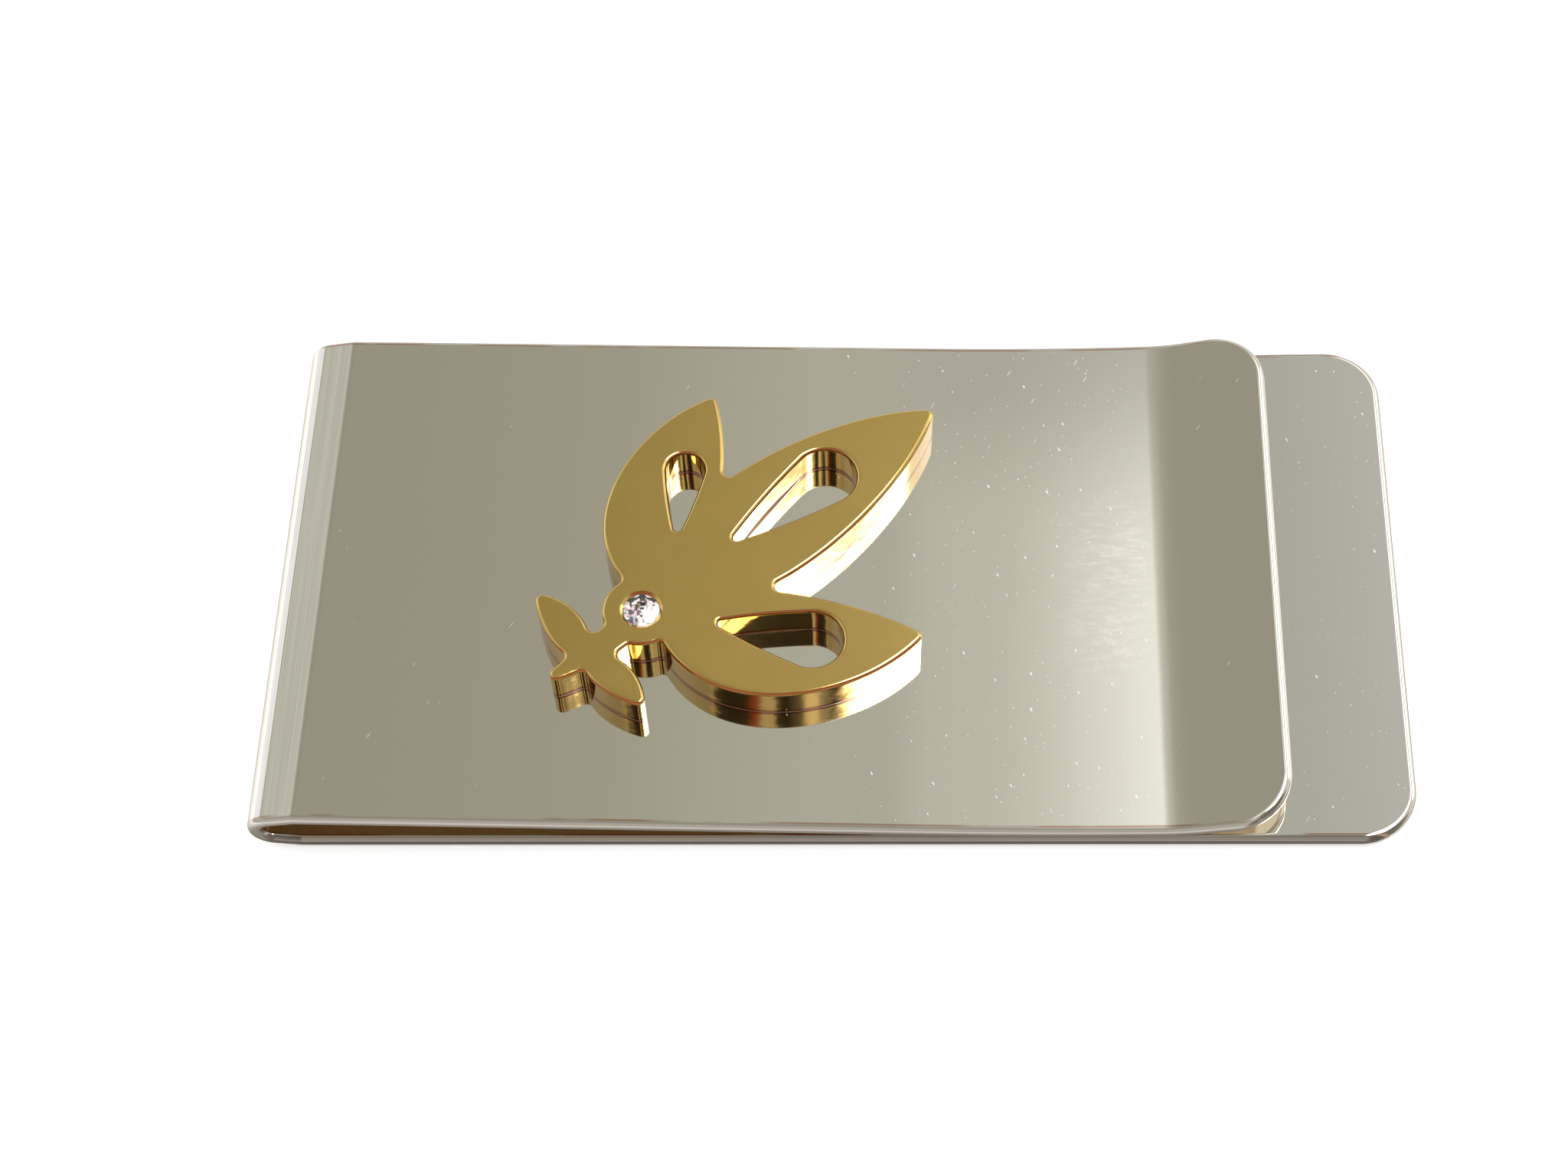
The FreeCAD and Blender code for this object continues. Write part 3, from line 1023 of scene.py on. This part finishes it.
def mirrored_room(nodes, direction):
    """What mirrors see past the ceiling: a pale room with a bright left side and a window.

    The bright left side's colour was worked out from the photo's average tones on the fold.
    """
    x, y, z = nodes.split(direction)
    room = nodes.mix(nodes.ramp(z, 0.45, 0.95), (0.78, 0.78, 0.72, 1), (0.52, 0.52, 0.46, 1))
    skirting = nodes.product(nodes.span(z, (-0.01, 0.01, 0.05, 0.13)), 0.6)
    room = nodes.mix(skirting, room, (0.33, 0.31, 0.26, 1))
    ahead = nodes.span(y, (0.20, 0.30, 0.68, 0.76))
    to_left = nodes.product(nodes.ramp(x, -0.35, -0.5), ahead)
    wall = nodes.product(to_left, nodes.span(z, (-1.0, -0.9, 0.46, 0.50)))
    room = nodes.mix(wall, room, (1.14, 1.18, 1.27, 1))
    rail = nodes.product(to_left, nodes.span(z, (0.48, 0.51, 0.54, 0.58)))
    room = nodes.mix(rail, room, (0.52, 0.52, 0.44, 1))
    window = nodes.product(nodes.ramp(x, 0.55, 0.85), ahead, nodes.span(z, (0.05, 0.15, 0.5, 0.7)))
    return nodes.mix(window, room, (2.4, 2.5, 2.6, 1))


def sparkle(nodes, direction):
    """What the stone sees: a patchwork of bright, tinted and dark cells."""
    cells = nodes.add("ShaderNodeTexVoronoi", {"Vector": direction, "Scale": 2.0}, feature="F1")
    pick = nodes.add("ShaderNodeSeparateColor", {0: cells.outputs["Color"]}).outputs[0]
    stops = (
        (0.00, (0.08, 0.07, 0.10)),
        (0.22, (0.75, 0.55, 0.60)),
        (0.38, (1.0, 1.0, 1.0)),
        (0.80, (0.80, 0.88, 1.0)),
        (0.92, (0.30, 0.26, 0.30)),
    )
    return ramp_colour(nodes, pick, stops, "CONSTANT")


ROOM_LIGHT = 1.15
SPARKLE_LIGHT = 2.4


def world():
    """White light on the floor; mirrors see a pale room, and the stone sees sparkle."""
    sky = bpy.data.worlds.new("studio")
    bpy.context.scene.world = sky
    sky.use_nodes = True
    nodes = Nodes(sky.node_tree)
    direction = nodes.add("ShaderNodeTexCoord").outputs["Generated"]
    path = nodes.add("ShaderNodeLightPath").outputs
    through_glass = path["Is Transmission Ray"]
    colour = nodes.mix(path["Is Glossy Ray"], (1, 1, 1, 1), mirrored_room(nodes, direction))
    colour = nodes.mix(through_glass, colour, sparkle(nodes, direction))
    strength = nodes.math("ADD", ROOM_LIGHT, nodes.product(through_glass, SPARKLE_LIGHT))
    glow = nodes.add("ShaderNodeBackground", {"Color": colour, "Strength": strength})
    nodes.add("ShaderNodeOutputWorld", {"Surface": glow.outputs[0]})


def key_light():
    light = bpy.data.lights.new("soft_key", "AREA")
    light.shape = "DISK"
    light.size = 0.5
    light.energy = 0.9
    obj = bpy.data.objects.new("soft_key", light)
    obj.location = (0.25, 0.15, 0.5)
    obj.rotation_mode = "QUATERNION"
    obj.rotation_quaternion = Vector(obj.location).to_track_quat("Z", "Y")
    obj.visible_glossy = False
    bpy.context.scene.collection.objects.link(obj)


# Fitted by a separate program to the outline of the strip in the photo
CAMERA_AZIMUTH = math.radians(8.045)
CAMERA_ELEVATION = math.radians(59.5)
CAMERA_ROLL = math.radians(-7.367)
CAMERA_TARGET = Vector((-2.319, 0.36, 0)) * MM
CAMERA_DISTANCE = 126.4 * MM
CAMERA_LENS = 63.1


def camera():
    """Above the near side, turned a little to the right and rolled."""
    back = Vector((
        math.sin(CAMERA_AZIMUTH) * math.cos(CAMERA_ELEVATION),
        -math.cos(CAMERA_AZIMUTH) * math.cos(CAMERA_ELEVATION),
        math.sin(CAMERA_ELEVATION),
    ))
    level = Vector((math.cos(CAMERA_AZIMUTH), math.sin(CAMERA_AZIMUTH), 0))
    rise = back.cross(level)
    right = level * math.cos(CAMERA_ROLL) + rise * math.sin(CAMERA_ROLL)
    over = rise * math.cos(CAMERA_ROLL) - level * math.sin(CAMERA_ROLL)
    data = bpy.data.cameras.new("camera")
    data.sensor_width = 36
    data.lens = CAMERA_LENS
    data.clip_start, data.clip_end = 0.01, 10
    obj = bpy.data.objects.new("camera", data)
    turn = Matrix((right, over, back)).transposed().to_4x4()
    obj.matrix_world = Matrix.Translation(CAMERA_TARGET + back * CAMERA_DISTANCE) @ turn
    bpy.context.scene.collection.objects.link(obj)
    bpy.context.scene.camera = obj


# ---------------------------------------------------------------- the whole scene

build_strip(nickel_material())
build_emblem(satin_gold(), bright_gold())
silvering = silver_material()
build_stone(glass_material(), silvering)
use_material("stone_foil", silvering)
glue = glue_material()
use_material("emblem_bond", glue)
use_material("stone_cement", glue)

floor()
ceiling()
room_behind_camera()

# The first two of these were worked out from the photo's average tones too, like the ceiling
soft_light(
    "bend_glow", height=80, across=(11, 18, 20.5, 29), along=(-60, -50, 38, 78),
    colour=(0.82, 0.88, 0.92), strength=0.76,
)
soft_light(
    "near_glow", height=81, across=(6, 11, 20.5, 29), along=(-60, -50, 50, 66),
    colour=(1, 1, 0.95), strength=0.13,
)
soft_light(
    "window_glow", height=300, across=(78, 95, 185, 205), along=(-130, -110, 85, 115),
    colour=(1, 1, 1), strength=14,
)
world()
key_light()
camera()
bpy.context.scene.view_settings.view_transform = "Standard"
